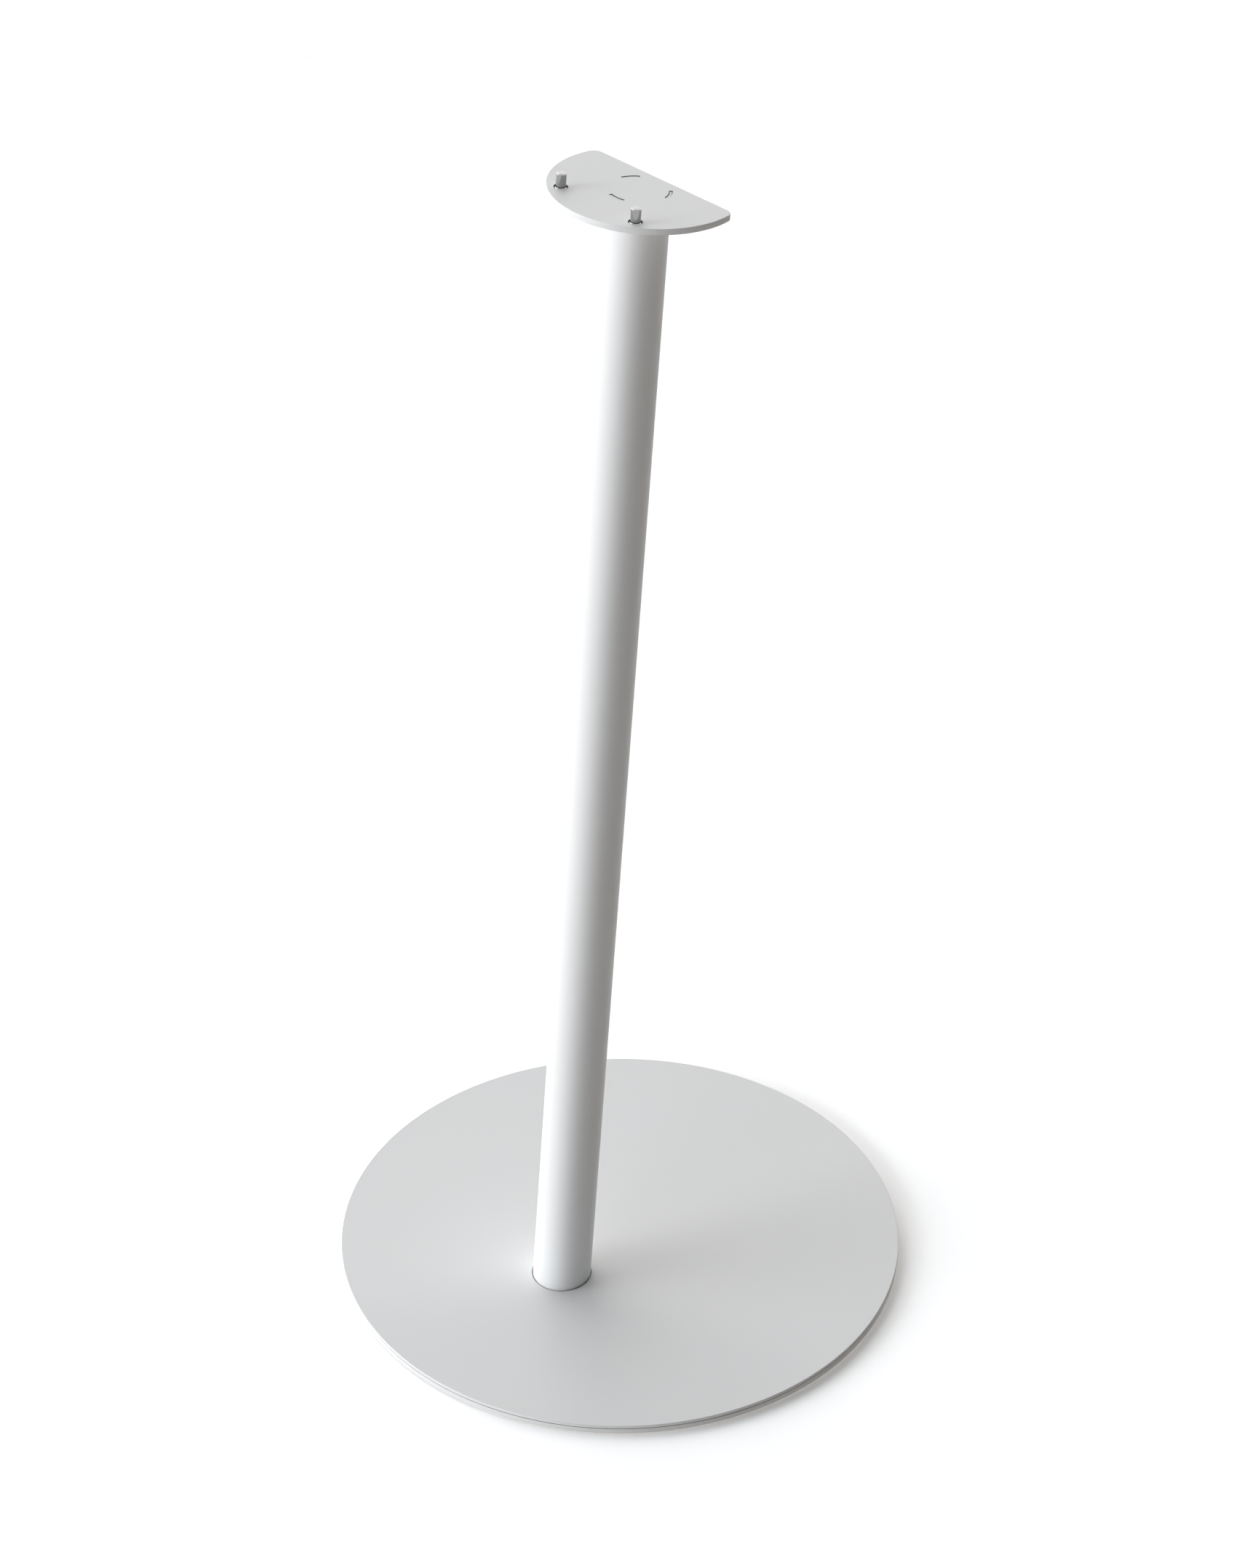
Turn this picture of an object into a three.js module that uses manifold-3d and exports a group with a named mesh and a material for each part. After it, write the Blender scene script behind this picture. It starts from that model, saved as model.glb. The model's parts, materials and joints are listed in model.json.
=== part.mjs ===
// Speaker stand: a round steel base in two layers, a slim steel tube that leans back, and a
// D-shaped plate on top of it that carries two speaker screws.
// Millimetres. +Z is up, the curved front of the top plate faces -Y and its straight back edge
// faces +Y. The origin is the middle of the round base, on the floor.

import * as THREE from 'three';
import { mergeVertices } from 'three/addons/utils/BufferGeometryUtils.js';
import Module from 'manifold-3d';

const wasm = await Module();
wasm.setup();

// ---------------------------------------------------------------------------
// Driving dimensions
// ---------------------------------------------------------------------------

// Round base
const BASE_DIAMETER = 390;
const BASE_PLATE_THICKNESS = 4;
const BASE_COVER_THICKNESS = 2.5;
const BOND_FILM_THICKNESS = 0.4;
const BOND_FILM_SETBACK = 2;
const DISC_EDGE_CHAMFER = 0.3;

// Rubber pads under the base
const FLOOR_PAD_COUNT = 8;
const FLOOR_PAD_DIAMETER = 20;
const FLOOR_PAD_THICKNESS = 1;
const FLOOR_PAD_RIM_MARGIN = 8;

// Column: a round tube, cut to a mitre at the foot and to three tabs at the top
const COLUMN_DIAMETER = 40;
const COLUMN_WALL = 1.5;
const COLUMN_LENGTH = 815.4;
const COLUMN_LEAN = THREE.MathUtils.degToRad(5.2);
const COLUMN_FOOT_FORWARD = 57.2;
const COVER_HOLE_CLEARANCE = 0.4;

// Three tabs of the tube in three arc slots of the top plate
const TAB_COUNT = 3;
const FIRST_TAB_ANGLE = THREE.MathUtils.degToRad(30);
const TAB_SPAN = THREE.MathUtils.degToRad(32);
const TAB_RECESS = 0.4;
const TAB_CLEARANCE = 0.35;

// Top plate: a round of this diameter, cut straight across behind the column
const TOP_PLATE_DIAMETER = 120;
const TOP_PLATE_THICKNESS = 4;
const TOP_PLATE_ROUND_CENTRE_BACK = 5.9;
const TOP_PLATE_BACK_OVERHANG = 1.5;
const TOP_PLATE_CORNER_RADIUS = 6;
const TOP_PLATE_EDGE_CHAMFER = 0.3;

// Speaker screws, which stand up through the plate. Each has a countersunk head, sunk into the
// plate's underside, whose cone narrows to the shank level with the plate's top.
const SPEAKER_SCREW_DIAMETER = 6.35;
const SPEAKER_SCREW_PROTRUSION = 8.9;
const SPEAKER_SCREW_SPACING = 63;
const SPEAKER_SCREW_EDGE_DISTANCE = 8.7;
const SPEAKER_SCREW_TIP_CHAMFER = 0.5;
const SPEAKER_SCREW_HEAD_RECESS = 0.2;
const SPEAKER_SCREW_HEAD_LAND = 0.5;
const SPEAKER_SCREW_HOLE_PLAY = 1.3;

// Rubber ring that is wedged between each screw's cone and the wall of its hole
const GRIP_RING_RECESS = 0.4;
const GRIP_RING_FOOT_WIDTH = 0.1;
const GRIP_RING_HOLE_CLEARANCE = 0.2;
const GRIP_RING_SCREW_CLEARANCE = 0.15;

// Solid plug in the foot of the tube, and the countersunk bolts that go up into it
const FOOT_PLUG_LENGTH = 20;
const FOOT_PLUG_EDGE_WALL = 5;
const COLUMN_BOLT_COUNT = 3;
const COLUMN_BOLT_DIAMETER = 6;
const COLUMN_BOLT_HEAD_DIAMETER = 12;
const COLUMN_BOLT_LENGTH = 16;
const COLUMN_BOLT_HEAD_LAND = 0.3;
const COLUMN_BOLT_HEAD_RECESS = 0.2;
const COLUMN_BOLT_TIP_CHAMFER = 0.8;
const COLUMN_BOLT_END_SPACE = 1.5;

// Hexagon sockets
const SPEAKER_SCREW_SOCKET_WIDTH = 4;
const SPEAKER_SCREW_SOCKET_DEPTH = 2.3;
const COLUMN_BOLT_SOCKET_WIDTH = 4;
const COLUMN_BOLT_SOCKET_DEPTH = 2.2;

// Gap between faces that bear on each other on the leaning column, and round each thread
const SEAT_GAP = 0.3;

// Sides of the round shapes
const DISC_SIDES = 120;
const TUBE_SIDES = 72;
const SMALL_SIDES = 36;

// ---------------------------------------------------------------------------
// Sizes worked out from the driving dimensions
// ---------------------------------------------------------------------------

const baseRadius = BASE_DIAMETER / 2;
const columnRadius = COLUMN_DIAMETER / 2;
const columnBoreRadius = columnRadius - COLUMN_WALL;
const basePlateBottom = FLOOR_PAD_THICKNESS;
const basePlateTop = basePlateBottom + BASE_PLATE_THICKNESS;
const coverBottom = basePlateTop + BOND_FILM_THICKNESS;
const coverMiddle = coverBottom + BASE_COVER_THICKNESS / 2;

// The cover's hole is bored straight down, so it is wider than the tube by the lean.
const leanAcrossCover = (BASE_COVER_THICKNESS / 2) * Math.tan(COLUMN_LEAN);
const coverHoleRadius = columnRadius / Math.cos(COLUMN_LEAN) + leanAcrossCover + COVER_HOLE_CLEARANCE;
const coverHoleY = -COLUMN_FOOT_FORWARD + (coverMiddle - basePlateTop) * Math.tan(COLUMN_LEAN);

const topPlateRadius = TOP_PLATE_DIAMETER / 2;
const topPlateBackEdge = columnRadius + TOP_PLATE_BACK_OVERHANG;
const screwX = SPEAKER_SCREW_SPACING / 2;
const screwCircleRadius = topPlateRadius - SPEAKER_SCREW_EDGE_DISTANCE;
const screwY = TOP_PLATE_ROUND_CENTRE_BACK - Math.sqrt(screwCircleRadius ** 2 - screwX ** 2);
const screwRadius = SPEAKER_SCREW_DIAMETER / 2;
const screwHoleRadius = screwRadius + SPEAKER_SCREW_HOLE_PLAY;
const screwConeBottom = SPEAKER_SCREW_HEAD_RECESS + SPEAKER_SCREW_HEAD_LAND;
const screwConeTop = TOP_PLATE_THICKNESS;
const screwHeadRadius = screwRadius + screwConeTop - screwConeBottom;

const plugRadius = columnBoreRadius - SEAT_GAP;
const columnBoltRadius = COLUMN_BOLT_DIAMETER / 2;
const columnBoltHoleRadius = columnBoltRadius + SEAT_GAP;
const columnBoltCircleRadius = plugRadius - FOOT_PLUG_EDGE_WALL - columnBoltHoleRadius;
const columnBoltHeadBottom = basePlateBottom + COLUMN_BOLT_HEAD_RECESS;

// ---------------------------------------------------------------------------
// Materials
// ---------------------------------------------------------------------------

function finish(color, roughness, metalness) {
  return new THREE.MeshStandardMaterial({ color, roughness, metalness });
}

const whitePowderCoat = () => finish(0xeeeeec, 0.5, 0);
const polishedSteel = () => finish(0xc4c6c8, 0.18, 1);
const zincSteel = () => finish(0xa9acae, 0.4, 1);
const bareSteel = () => finish(0x8c8e90, 0.45, 1);
const greyRubber = () => finish(0x2a2a2c, 0.85, 0);
const bondFilm = () => finish(0x35363a, 0.8, 0);

// ---------------------------------------------------------------------------
// Solids
// ---------------------------------------------------------------------------

// A closed solid for cutting and joining, with shared corners merged and empty triangles left out.
function toSolid(geometry) {
  const bare = geometry.clone();
  bare.deleteAttribute('normal');
  bare.deleteAttribute('uv');
  const merged = mergeVertices(bare, 1e-4);
  const corners = [];
  const index = merged.index.array;
  for (let i = 0; i < index.length; i += 3) {
    const [a, b, c] = [index[i], index[i + 1], index[i + 2]];
    if (a !== b && b !== c && c !== a) corners.push(a, b, c);
  }
  return new wasm.Manifold(new wasm.Mesh({
    numProp: 3,
    vertProperties: new Float32Array(merged.attributes.position.array),
    triVerts: new Uint32Array(corners),
  }));
}

function toGeometry(solid) {
  const { vertProperties, triVerts } = solid.getMesh();
  const geometry = new THREE.BufferGeometry();
  geometry.setAttribute('position', new THREE.BufferAttribute(vertProperties, 3));
  geometry.setIndex(new THREE.BufferAttribute(triVerts, 1));
  geometry.computeVertexNormals();
  return geometry;
}

// Takes every cutter out of a body.
function cut(body, cutters) {
  const solid = cutters.reduce((rest, cutter) => rest.subtract(toSolid(cutter)), toSolid(body));
  return toGeometry(solid);
}

// A solid turned about Z from [radius, height] corners that run up the outside from the axis.
function turned(corners, sides) {
  const profile = corners.map(([radius, height]) => new THREE.Vector2(radius, height));
  return new THREE.LatheGeometry(profile, sides).rotateX(Math.PI / 2);
}

function roundBar(radius, bottom, top, sides) {
  return turned([[0, bottom], [radius, bottom], [radius, top], [0, top]], sides);
}

function ring(innerRadius, outerRadius, bottom, top, sides) {
  const corners = [
    [innerRadius, bottom],
    [outerRadius, bottom],
    [outerRadius, top],
    [innerRadius, top],
    [innerRadius, bottom],
  ];
  return turned(corners, sides);
}

// A flat disc whose two edges are slightly broken.
function disc(radius, bottom, top, chamfer) {
  const corners = [
    [0, bottom],
    [radius - chamfer, bottom],
    [radius, bottom + chamfer],
    [radius, top - chamfer],
    [radius - chamfer, top],
    [0, top],
  ];
  return turned(corners, DISC_SIDES);
}

function hexagonBar(width, bottom, top) {
  const cornerRadius = width / 2 / Math.cos(Math.PI / 6);
  return roundBar(cornerRadius, bottom, top, 6);
}

// A piece of a ring between two angles, measured from +X towards +Y.
function ringSector(innerRadius, outerRadius, fromAngle, toAngle, bottom, top) {
  const shape = new THREE.Shape();
  shape.absarc(0, 0, outerRadius, fromAngle, toAngle, false);
  shape.absarc(0, 0, innerRadius, toAngle, fromAngle, true);
  const settings = { depth: top - bottom, bevelEnabled: false, curveSegments: 12 };
  return new THREE.ExtrudeGeometry(shape, settings).translate(0, 0, bottom);
}

function tabAngle(number) {
  return FIRST_TAB_ANGLE + (number * 2 * Math.PI) / TAB_COUNT;
}

function named(name, geometry, material) {
  const mesh = new THREE.Mesh(geometry, material);
  mesh.name = name;
  return mesh;
}

// ---------------------------------------------------------------------------
// Column frame: origin on the tube's axis at the top of the base plate, +Z up the tube
// ---------------------------------------------------------------------------

const column = new THREE.Group();
column.position.set(0, -COLUMN_FOOT_FORWARD, basePlateTop);
column.rotation.x = -COLUMN_LEAN;
column.updateMatrixWorld();

// Brings a shape that is drawn upright, round the foot of the column, into the column's frame.
function uprightInColumn(geometry) {
  const intoColumn = column.matrixWorld.clone().invert();
  return geometry.translate(0, -COLUMN_FOOT_FORWARD, 0).applyMatrix4(intoColumn);
}

// What is cut away below the foot, so that a leaning part ends level on the base plate.
function footCut() {
  const size = 4 * COLUMN_DIAMETER;
  const block = new THREE.BoxGeometry(size, size, size);
  return uprightInColumn(block.translate(0, 0, basePlateTop + SEAT_GAP - size / 2));
}

// ---------------------------------------------------------------------------
// Base
// ---------------------------------------------------------------------------

// Places of the column bolts round the foot of the column, seen from above.
function columnBoltPlaces() {
  return Array.from({ length: COLUMN_BOLT_COUNT }, (_, number) => {
    const angle = -Math.PI / 2 + (number * 2 * Math.PI) / COLUMN_BOLT_COUNT;
    return [columnBoltCircleRadius * Math.cos(angle), columnBoltCircleRadius * Math.sin(angle)];
  });
}

// Corners of a countersunk bolt from the middle of its head up, or of its hole with a clearance.
function countersunkCorners(clearance, bottom, top) {
  const headRadius = COLUMN_BOLT_HEAD_DIAMETER / 2 + clearance;
  const shankRadius = columnBoltRadius + clearance;
  const coneStart = columnBoltHeadBottom + COLUMN_BOLT_HEAD_LAND;
  const coneHeight = headRadius - shankRadius;
  return [
    [0, bottom],
    [headRadius, bottom],
    [headRadius, coneStart],
    [shankRadius, coneStart + coneHeight],
    [shankRadius, top],
    [0, top],
  ];
}

function makeBasePlate() {
  const plate = disc(baseRadius, basePlateBottom, basePlateTop, DISC_EDGE_CHAMFER);
  const boltHoles = columnBoltPlaces().map(([x, y]) => {
    const hole = turned(countersunkCorners(SEAT_GAP, 0, basePlateTop + 1), SMALL_SIDES);
    return hole.translate(x, y - COLUMN_FOOT_FORWARD, 0);
  });
  return named('base_plate', cut(plate, boltHoles), whitePowderCoat());
}

function makeBondFilm() {
  const film = roundBar(baseRadius - BOND_FILM_SETBACK, basePlateTop, coverBottom, DISC_SIDES);
  const hole = roundBar(coverHoleRadius + BOND_FILM_SETBACK, 0, 2 * coverBottom, TUBE_SIDES);
  return named('bond_film', cut(film, [hole.translate(0, coverHoleY, 0)]), bondFilm());
}

function makeBaseCover() {
  const coverTop = coverBottom + BASE_COVER_THICKNESS;
  const cover = disc(baseRadius, coverBottom, coverTop, DISC_EDGE_CHAMFER);
  const hole = roundBar(coverHoleRadius, 0, 2 * coverTop, TUBE_SIDES);
  return named('base_cover', cut(cover, [hole.translate(0, coverHoleY, 0)]), whitePowderCoat());
}

function makeFloorPads() {
  const padRadius = FLOOR_PAD_DIAMETER / 2;
  const circleRadius = baseRadius - FLOOR_PAD_RIM_MARGIN - padRadius;
  return Array.from({ length: FLOOR_PAD_COUNT }, (_, number) => {
    const angle = ((number + 0.5) * 2 * Math.PI) / FLOOR_PAD_COUNT;
    const shape = roundBar(padRadius, 0, basePlateBottom, SMALL_SIDES);
    const pad = named(`floor_pad_${number + 1}`, shape, greyRubber());
    pad.position.set(circleRadius * Math.cos(angle), circleRadius * Math.sin(angle), 0);
    return pad;
  });
}

function makeColumnBolts() {
  const tip = columnBoltHeadBottom + COLUMN_BOLT_LENGTH;
  const corners = countersunkCorners(0, columnBoltHeadBottom, tip - COLUMN_BOLT_TIP_CHAMFER);
  corners.splice(-1, 1, [columnBoltRadius - COLUMN_BOLT_TIP_CHAMFER, tip], [0, tip]);
  const socketTop = columnBoltHeadBottom + COLUMN_BOLT_SOCKET_DEPTH;
  return columnBoltPlaces().map(([x, y], number) => {
    const socket = hexagonBar(COLUMN_BOLT_SOCKET_WIDTH, 0, socketTop);
    const shape = cut(turned(corners, SMALL_SIDES), [socket]);
    const bolt = named(`column_bolt_${number + 1}`, shape, zincSteel());
    bolt.position.set(x, y - COLUMN_FOOT_FORWARD, 0);
    return bolt;
  });
}

// ---------------------------------------------------------------------------
// Column
// ---------------------------------------------------------------------------

function makeFootPlug() {
  const plug = roundBar(plugRadius, -COLUMN_DIAMETER, FOOT_PLUG_LENGTH, TUBE_SIDES);
  const holeTop = columnBoltHeadBottom + COLUMN_BOLT_LENGTH + COLUMN_BOLT_END_SPACE;
  const holes = columnBoltPlaces().map(([x, y]) => {
    const hole = roundBar(columnBoltHoleRadius, 0, holeTop, SMALL_SIDES);
    return uprightInColumn(hole.translate(x, y, 0));
  });
  return named('foot_plug', cut(plug, [footCut(), ...holes]), bareSteel());
}

// The tube reaches into the top plate, and the wall between the tabs is cut back to its underside.
function makeColumnTube() {
  const tabTop = COLUMN_LENGTH + TOP_PLATE_THICKNESS - TAB_RECESS;
  const shoulder = COLUMN_LENGTH - SEAT_GAP;
  const tube = ring(columnBoreRadius, columnRadius, -COLUMN_DIAMETER, tabTop, TUBE_SIDES);
  const pitch = (2 * Math.PI) / TAB_COUNT;
  const notches = Array.from({ length: TAB_COUNT }, (_, number) => {
    const from = tabAngle(number) + TAB_SPAN / 2;
    const to = tabAngle(number) + pitch - TAB_SPAN / 2;
    const inner = columnBoreRadius - COLUMN_WALL;
    const outer = columnRadius + COLUMN_WALL;
    return ringSector(inner, outer, from, to, shoulder, tabTop + COLUMN_WALL);
  });
  return named('column_tube', cut(tube, [footCut(), ...notches]), whitePowderCoat());
}

// ---------------------------------------------------------------------------
// Top plate, in the column's frame
// ---------------------------------------------------------------------------

// Three quarters of a round, a straight back edge and two rounded corners between them.
function topPlateOutline() {
  const corner = TOP_PLATE_CORNER_RADIUS;
  const centreY = TOP_PLATE_ROUND_CENTRE_BACK;
  const cornerY = topPlateBackEdge - corner;
  const cornerX = Math.sqrt((topPlateRadius - corner) ** 2 - (cornerY - centreY) ** 2);
  const joinAngle = Math.atan2(cornerY - centreY, cornerX);
  const outline = new THREE.Shape();
  outline.absarc(0, centreY, topPlateRadius, Math.PI - joinAngle, 2 * Math.PI + joinAngle, false);
  outline.absarc(cornerX, cornerY, corner, joinAngle, Math.PI / 2, false);
  outline.absarc(-cornerX, cornerY, corner, Math.PI / 2, Math.PI - joinAngle, false);
  return outline;
}

function tabSlots(bottom, top) {
  const slack = TAB_CLEARANCE / columnRadius;
  return Array.from({ length: TAB_COUNT }, (_, number) => {
    const from = tabAngle(number) - TAB_SPAN / 2 - slack;
    const to = tabAngle(number) + TAB_SPAN / 2 + slack;
    const inner = columnBoreRadius - TAB_CLEARANCE;
    const outer = columnRadius + TAB_CLEARANCE;
    return ringSector(inner, outer, from, to, bottom, top);
  });
}

function makeTopPlate() {
  const chamfer = TOP_PLATE_EDGE_CHAMFER;
  const blank = new THREE.ExtrudeGeometry(topPlateOutline(), {
    depth: TOP_PLATE_THICKNESS - 2 * chamfer,
    bevelSize: chamfer,
    bevelOffset: -chamfer,
    bevelThickness: chamfer,
    bevelSegments: 1,
    curveSegments: 30,
  });
  blank.translate(0, 0, COLUMN_LENGTH + chamfer);
  const below = COLUMN_LENGTH - 1;
  const above = COLUMN_LENGTH + TOP_PLATE_THICKNESS + 1;
  const screwHoles = [-screwX, screwX].map((x) => {
    return turned(screwHoleCorners(), SMALL_SIDES).translate(x, screwY, COLUMN_LENGTH);
  });
  const plate = cut(blank, [...screwHoles, ...tabSlots(below, above)]);
  return named('top_plate', plate, whitePowderCoat());
}

// ---------------------------------------------------------------------------
// Speaker screws, each in its own frame: origin in the middle of its hole, at the plate's
// underside, +Z up the screw
// ---------------------------------------------------------------------------

// The hole in the plate: a countersink round the screw's head and a straight hole above it.
function screwHoleCorners() {
  const sink = screwHeadRadius + SEAT_GAP;
  return [
    [0, -1],
    [sink, -1],
    [sink, screwConeBottom],
    [screwHoleRadius, screwConeBottom + sink - screwHoleRadius],
    [screwHoleRadius, TOP_PLATE_THICKNESS + 1],
    [0, TOP_PLATE_THICKNESS + 1],
  ];
}

function makeSpeakerScrew(name) {
  const chamfer = SPEAKER_SCREW_TIP_CHAMFER;
  const bottom = SPEAKER_SCREW_HEAD_RECESS;
  const tip = TOP_PLATE_THICKNESS + SPEAKER_SCREW_PROTRUSION;
  const corners = [
    [0, bottom],
    [screwHeadRadius, bottom],
    [screwHeadRadius, screwConeBottom],
    [screwRadius, screwConeTop],
    [screwRadius, tip - chamfer],
    [screwRadius - chamfer, tip],
    [0, tip],
  ];
  const socketTop = bottom + SPEAKER_SCREW_SOCKET_DEPTH;
  const socket = hexagonBar(SPEAKER_SCREW_SOCKET_WIDTH, -1, socketTop);
  return named(name, cut(turned(corners, SMALL_SIDES), [socket]), polishedSteel());
}

// The ring's inner face follows the screw's cone, which stands at 45 degrees.
function makeGripRing(name) {
  const top = screwConeTop - GRIP_RING_RECESS;
  const outer = screwHoleRadius - GRIP_RING_HOLE_CLEARANCE;
  const inner = screwRadius + GRIP_RING_RECESS + GRIP_RING_SCREW_CLEARANCE * Math.SQRT2;
  const foot = outer - GRIP_RING_FOOT_WIDTH;
  const bottom = top - (foot - inner);
  const corners = [
    [foot, bottom],
    [outer, bottom],
    [outer, top],
    [inner, top],
    [foot, bottom],
  ];
  return named(name, turned(corners, SMALL_SIDES), greyRubber());
}

function makeSpeakerScrewSet(side, x) {
  const set = new THREE.Group();
  set.position.set(x, screwY, COLUMN_LENGTH);
  set.add(makeSpeakerScrew(`speaker_screw_${side}`));
  set.add(makeGripRing(`grip_ring_${side}`));
  return set;
}

// ---------------------------------------------------------------------------
// Assembly
// ---------------------------------------------------------------------------

column.add(makeFootPlug());
column.add(makeColumnTube());
column.add(makeTopPlate());
column.add(makeSpeakerScrewSet('left', -screwX));
column.add(makeSpeakerScrewSet('right', screwX));

const stand = new THREE.Group();
stand.add(...makeFloorPads());
stand.add(makeBasePlate());
stand.add(makeBondFilm());
stand.add(makeBaseCover());
stand.add(...makeColumnBolts());
stand.add(column);

export default stand;
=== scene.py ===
# %% [markdown]
# # A speaker stand, finished for its picture
#
# The stand is a round steel base in two layers, a slim steel tube that leans back and a D-shaped
# plate that a small loudspeaker is screwed to. The engineering model already holds every size and
# every joint. This lesson gives the stand its surfaces: each piece that shows is modelled again
# with soft edges, gets a finish made of nodes, and is tied to the body that it moves with.
#
# The model comes in first and is never moved. Everything after it is in metres and in its frame.
# Z is up, the curved front of the plate faces -Y, and the origin is the middle of the base, on the
# floor.

# %% Load the fixed frame
import json
import math

import bmesh
import bpy
from mathutils import Matrix, Vector

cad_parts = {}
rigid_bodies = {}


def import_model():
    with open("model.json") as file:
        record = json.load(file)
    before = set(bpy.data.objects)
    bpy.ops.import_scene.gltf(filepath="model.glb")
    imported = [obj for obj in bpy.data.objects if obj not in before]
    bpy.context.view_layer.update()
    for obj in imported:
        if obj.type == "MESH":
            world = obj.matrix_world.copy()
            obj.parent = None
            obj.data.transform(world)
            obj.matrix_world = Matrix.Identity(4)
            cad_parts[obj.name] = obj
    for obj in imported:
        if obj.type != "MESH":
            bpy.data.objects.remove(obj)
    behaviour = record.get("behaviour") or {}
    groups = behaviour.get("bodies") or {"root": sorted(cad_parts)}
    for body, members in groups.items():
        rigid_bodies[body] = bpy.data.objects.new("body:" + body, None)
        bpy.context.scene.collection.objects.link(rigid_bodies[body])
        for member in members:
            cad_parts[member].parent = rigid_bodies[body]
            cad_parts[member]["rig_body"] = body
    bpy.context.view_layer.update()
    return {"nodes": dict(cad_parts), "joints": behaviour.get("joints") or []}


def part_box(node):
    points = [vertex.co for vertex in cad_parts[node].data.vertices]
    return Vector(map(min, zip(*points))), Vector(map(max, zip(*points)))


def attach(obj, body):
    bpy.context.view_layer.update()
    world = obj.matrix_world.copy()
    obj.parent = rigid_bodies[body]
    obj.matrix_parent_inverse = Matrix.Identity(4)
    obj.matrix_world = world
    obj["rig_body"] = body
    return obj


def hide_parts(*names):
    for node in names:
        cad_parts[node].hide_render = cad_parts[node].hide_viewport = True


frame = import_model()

MM = 0.001
print("nodes:", len(frame["nodes"]))

# %% [markdown]
# ## The camera
#
# The photograph looks down on the stand from its front right corner. Its place was worked out from
# the outline of the round base, the edges of the tube and the outline of the plate, so it could be
# set by eye and nudged, but solved values put every edge where the photograph has it.
#
# The focal length is in pixels of the photograph. Blender wants millimetres on a 36 mm sensor,
# which lies along the longer side of the frame.

# %% Set the camera
PHOTO_HEIGHT_PIXELS = 2156
FOCAL_PIXELS = 6155.9
SENSOR_SIDE = 36
CAMERA_PLACE = Vector((1688.2, -1680.7, 2077.8)) * MM
CAMERA_AZIMUTH = math.radians(45)
CAMERA_DIP = math.radians(35.26)
FAR_CLIP = 50

lens = bpy.data.cameras.new("photo_camera")
lens.sensor_width = SENSOR_SIDE
lens.lens = FOCAL_PIXELS * SENSOR_SIDE / PHOTO_HEIGHT_PIXELS
lens.clip_end = FAR_CLIP
camera = bpy.data.objects.new("photo_camera", lens)
camera.location = CAMERA_PLACE
camera.rotation_euler = (math.pi / 2 - CAMERA_DIP, 0, CAMERA_AZIMUTH)
bpy.context.scene.collection.objects.link(camera)
bpy.context.scene.camera = camera
print("lens in mm:", round(lens.lens, 2))

# %% [markdown]
# ## Shader maths in plain Python
#
# A finish is a small network of nodes. Placing each Math node by hand hides the idea behind it, so
# a `Wire` stands for a value on its way through the network: adding or multiplying wires adds the
# Math nodes. Every other node comes from `Finish.node`, which sets the node's settings first and
# then fills or links its sockets.

# %% Wires and finishes
class Wire:
    """A value in a finish. Arithmetic on it adds Math nodes."""

    def __init__(self, finish, socket):
        self.finish = finish
        self.socket = socket

    def math(self, operation, first, second):
        return self.finish.node("ShaderNodeMath", {"operation": operation}, {0: first, 1: second})

    def __add__(self, other):
        return self.math("ADD", self, other)

    def __radd__(self, other):
        return self.math("ADD", other, self)

    def __mul__(self, other):
        return self.math("MULTIPLY", self, other)

    def __rmul__(self, other):
        return self.math("MULTIPLY", other, self)


class Finish:
    """The network of nodes of a material, or of the sky, that is being made."""

    def __init__(self, owner):
        self.owner = owner
        owner.use_nodes = True
        owner.node_tree.nodes.clear()

    def node(self, kind, settings=None, sockets=None, output=0):
        made = self.owner.node_tree.nodes.new(kind)
        for name, value in (settings or {}).items():
            setattr(made, name, value)
        for name, value in (sockets or {}).items():
            if isinstance(value, Wire):
                self.owner.node_tree.links.new(value.socket, made.inputs[name])
            else:
                made.inputs[name].default_value = value
        return Wire(self, made.outputs[output]) if made.outputs else None

    def place(self):
        """Where a point of the surface is, in metres, in the piece's own frame."""
        return self.node("ShaderNodeTexCoord", output="Object")

    def noise(self, grain, detail=2.0, place=None):
        """A cloudy value from 0 to 1, with lumps of about the given size in metres."""
        sockets = {"Vector": place or self.place(), "Scale": 1 / grain, "Detail": detail}
        return self.node("ShaderNodeTexNoise", {}, sockets)

    def blend(self, share, first, second):
        """A colour between two, by a share from 0 to 1."""
        settings = {"data_type": "RGBA", "clamp_factor": True}
        return self.node("ShaderNodeMix", settings, {0: share, 6: first, 7: second}, output=2)

    def bump(self, height, depth):
        """A surface direction that is shaded as if the height stood out by the depth in metres."""
        return self.node("ShaderNodeBump", {}, {"Height": height, "Distance": depth, "Strength": 1.0})

    def close(self, **sockets):
        """Ends the network in one Principled shader and gives the material."""
        named = {name.replace("_", " "): value for name, value in sockets.items()}
        shader = self.node("ShaderNodeBsdfPrincipled", {}, named)
        self.node("ShaderNodeOutputMaterial", {}, {"Surface": shader})
        return self.owner


def new_finish(name):
    return Finish(bpy.data.materials.new(name))


def grey(level, warmth=0.0):
    """An almost neutral colour. Warmth above zero is yellower, below zero bluer."""
    return (level * (1 + warmth), level, level * (1 - warmth), 1.0)


print("shader tools are ready")

# %% [markdown]
# ## White powder coat
#
# The base, the tube and the plate are steel with a baked polyester powder on it. Up close it has
# the skin of very fine orange peel, because the grains melt into each other but never quite level
# out, and it is satin and not glossy. From a step away it reads as an even white.
#
# The peel is a noise of about half a millimetre in a bump. A second, wider noise lets the gloss and
# the white drift by a hair, as they do between places where the coat lies thicker or thinner.

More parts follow.
